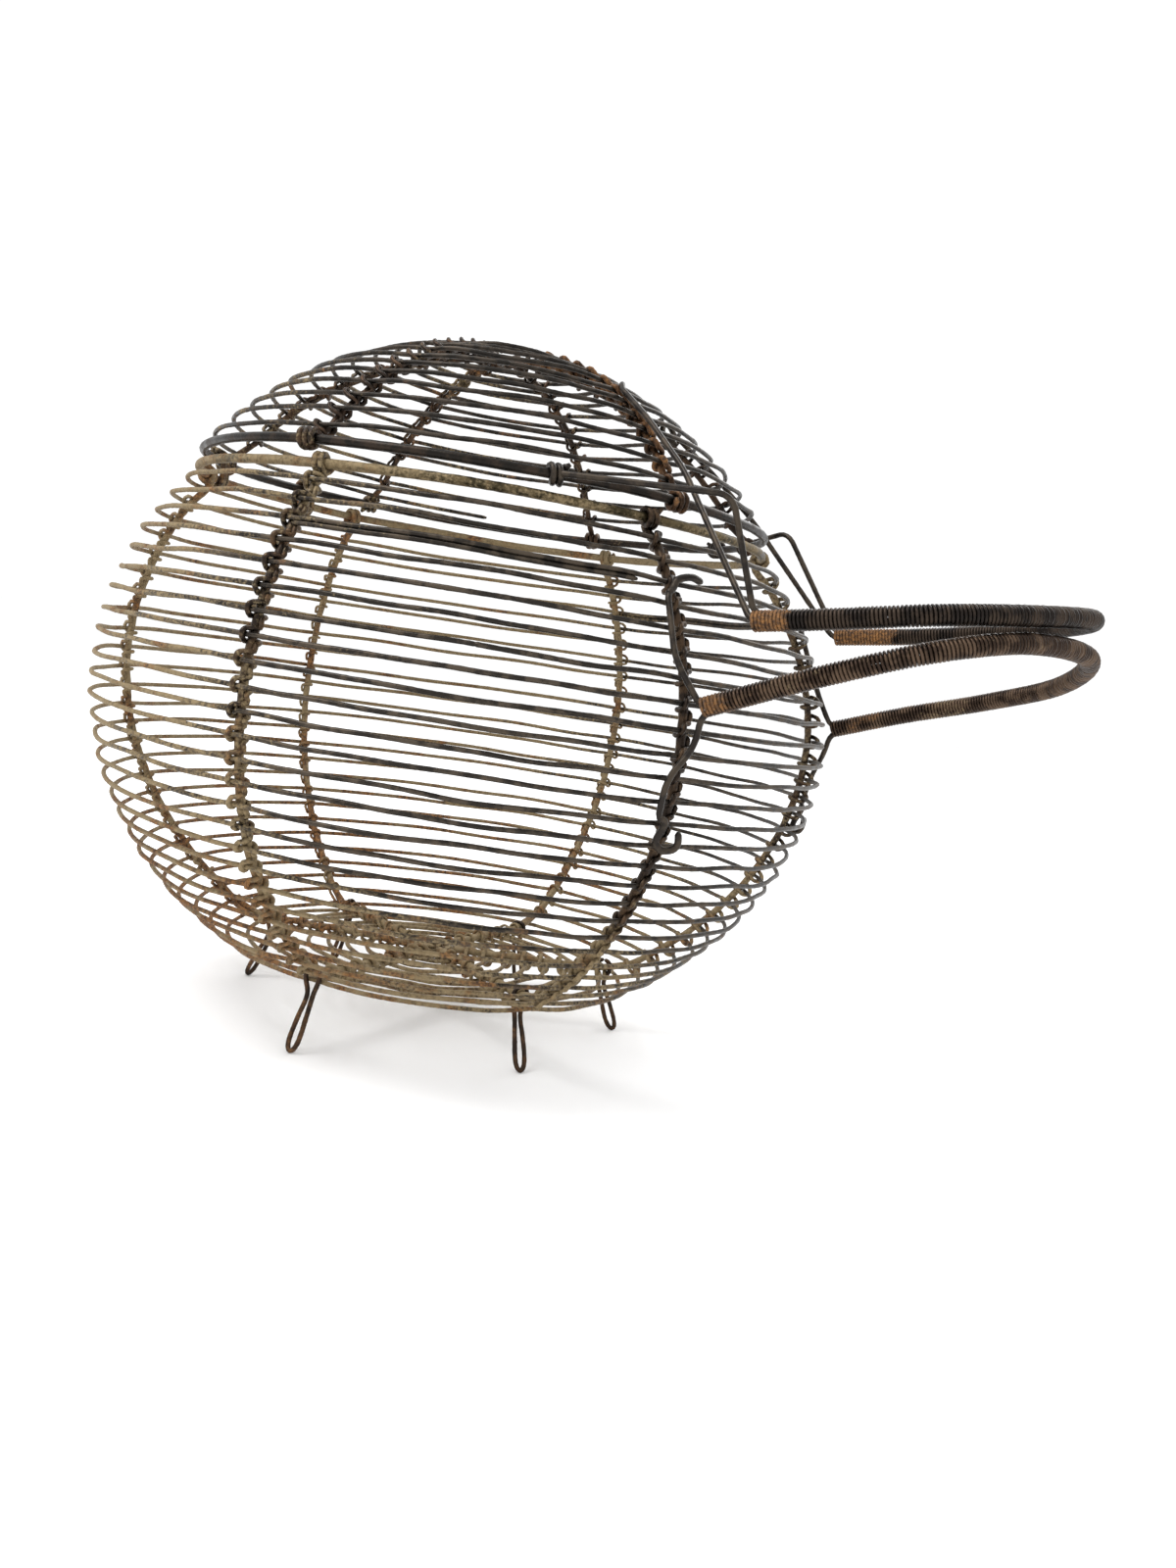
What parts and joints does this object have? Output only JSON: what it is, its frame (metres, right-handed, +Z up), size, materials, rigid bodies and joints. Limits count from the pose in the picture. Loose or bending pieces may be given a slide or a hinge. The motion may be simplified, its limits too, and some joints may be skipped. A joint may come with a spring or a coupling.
{
  "type": "wire salad basket",
  "caption": "Round wire salad basket: a bowl on hairpin feet with a hinged domed lid, and a wire-wound loop handle on each half.",
  "frame": {"origin": "on the ground, under the middle of the whole basket's box", "axes": "+X towards the handles' ends, +Z up, the hinge at -X with its axis nearly along Y"},
  "size_m": [0.3314, 0.2572, 0.2362],
  "materials": {
    "wall_wire": "old drawn steel wire, dark brown oxide with khaki and rust-orange patches",
    "rim_wire": "thick old wire, khaki-brown oxide",
    "rib_wire": "twisted wire, dark brown rust",
    "foot_wire": "dark brown rusty wire",
    "handle_wire": "dark wire, worn smooth",
    "grip_winding": "close winding of thin wire, brown-black, rust-orange where it starts"
  },
  "bodies": {
    "bowl": {"bowl_wire_1": "wall_wire", "bowl_wire_2": "wall_wire", "bowl_wire_3": "wall_wire", "bowl_wire_4": "wall_wire", "base_wire_outer": "wall_wire", "base_wire_inner": "wall_wire", "bowl_brace_near": "wall_wire", "bowl_brace_far": "wall_wire", "bowl_rim": "rim_wire", "hinge_eye_left": "rim_wire", "hinge_eye_right": "rim_wire", "bowl_rib_1": "rib_wire", "bowl_rib_2": "rib_wire", "bowl_rib_3": "rib_wire", "bowl_rib_4": "rib_wire", "bowl_rib_5": "rib_wire", "bowl_rib_6": "rib_wire", "foot_1": "foot_wire", "foot_2": "foot_wire", "foot_3": "foot_wire", "foot_4": "foot_wire", "foot_5": "foot_wire", "foot_6": "foot_wire", "bowl_handle_wire_upper": "handle_wire", "bowl_handle_wire_lower": "handle_wire", "bowl_handle_winding": "grip_winding"},
    "lid": {"lid_wire_lower": "wall_wire", "lid_wire_upper": "wall_wire", "lid_rim": "rim_wire", "lid_rib_1": "rib_wire", "lid_rib_2": "rib_wire", "lid_rib_3": "rib_wire", "lid_rib_4": "rib_wire", "lid_rib_5": "rib_wire", "lid_rib_6": "rib_wire", "lid_handle_wire_rim": "handle_wire", "lid_handle_wire_dome": "handle_wire", "lid_handle_winding": "grip_winding"}
  },
  "joints": [
    {"name": "lid_hinge", "type": "hinge", "parent": "bowl", "child": "lid", "pos_m": [-0.1356, -0.00884, 0.18329], "axis": [0.0959, -0.9954, 0], "range_deg": [0, 110]}
  ]
}
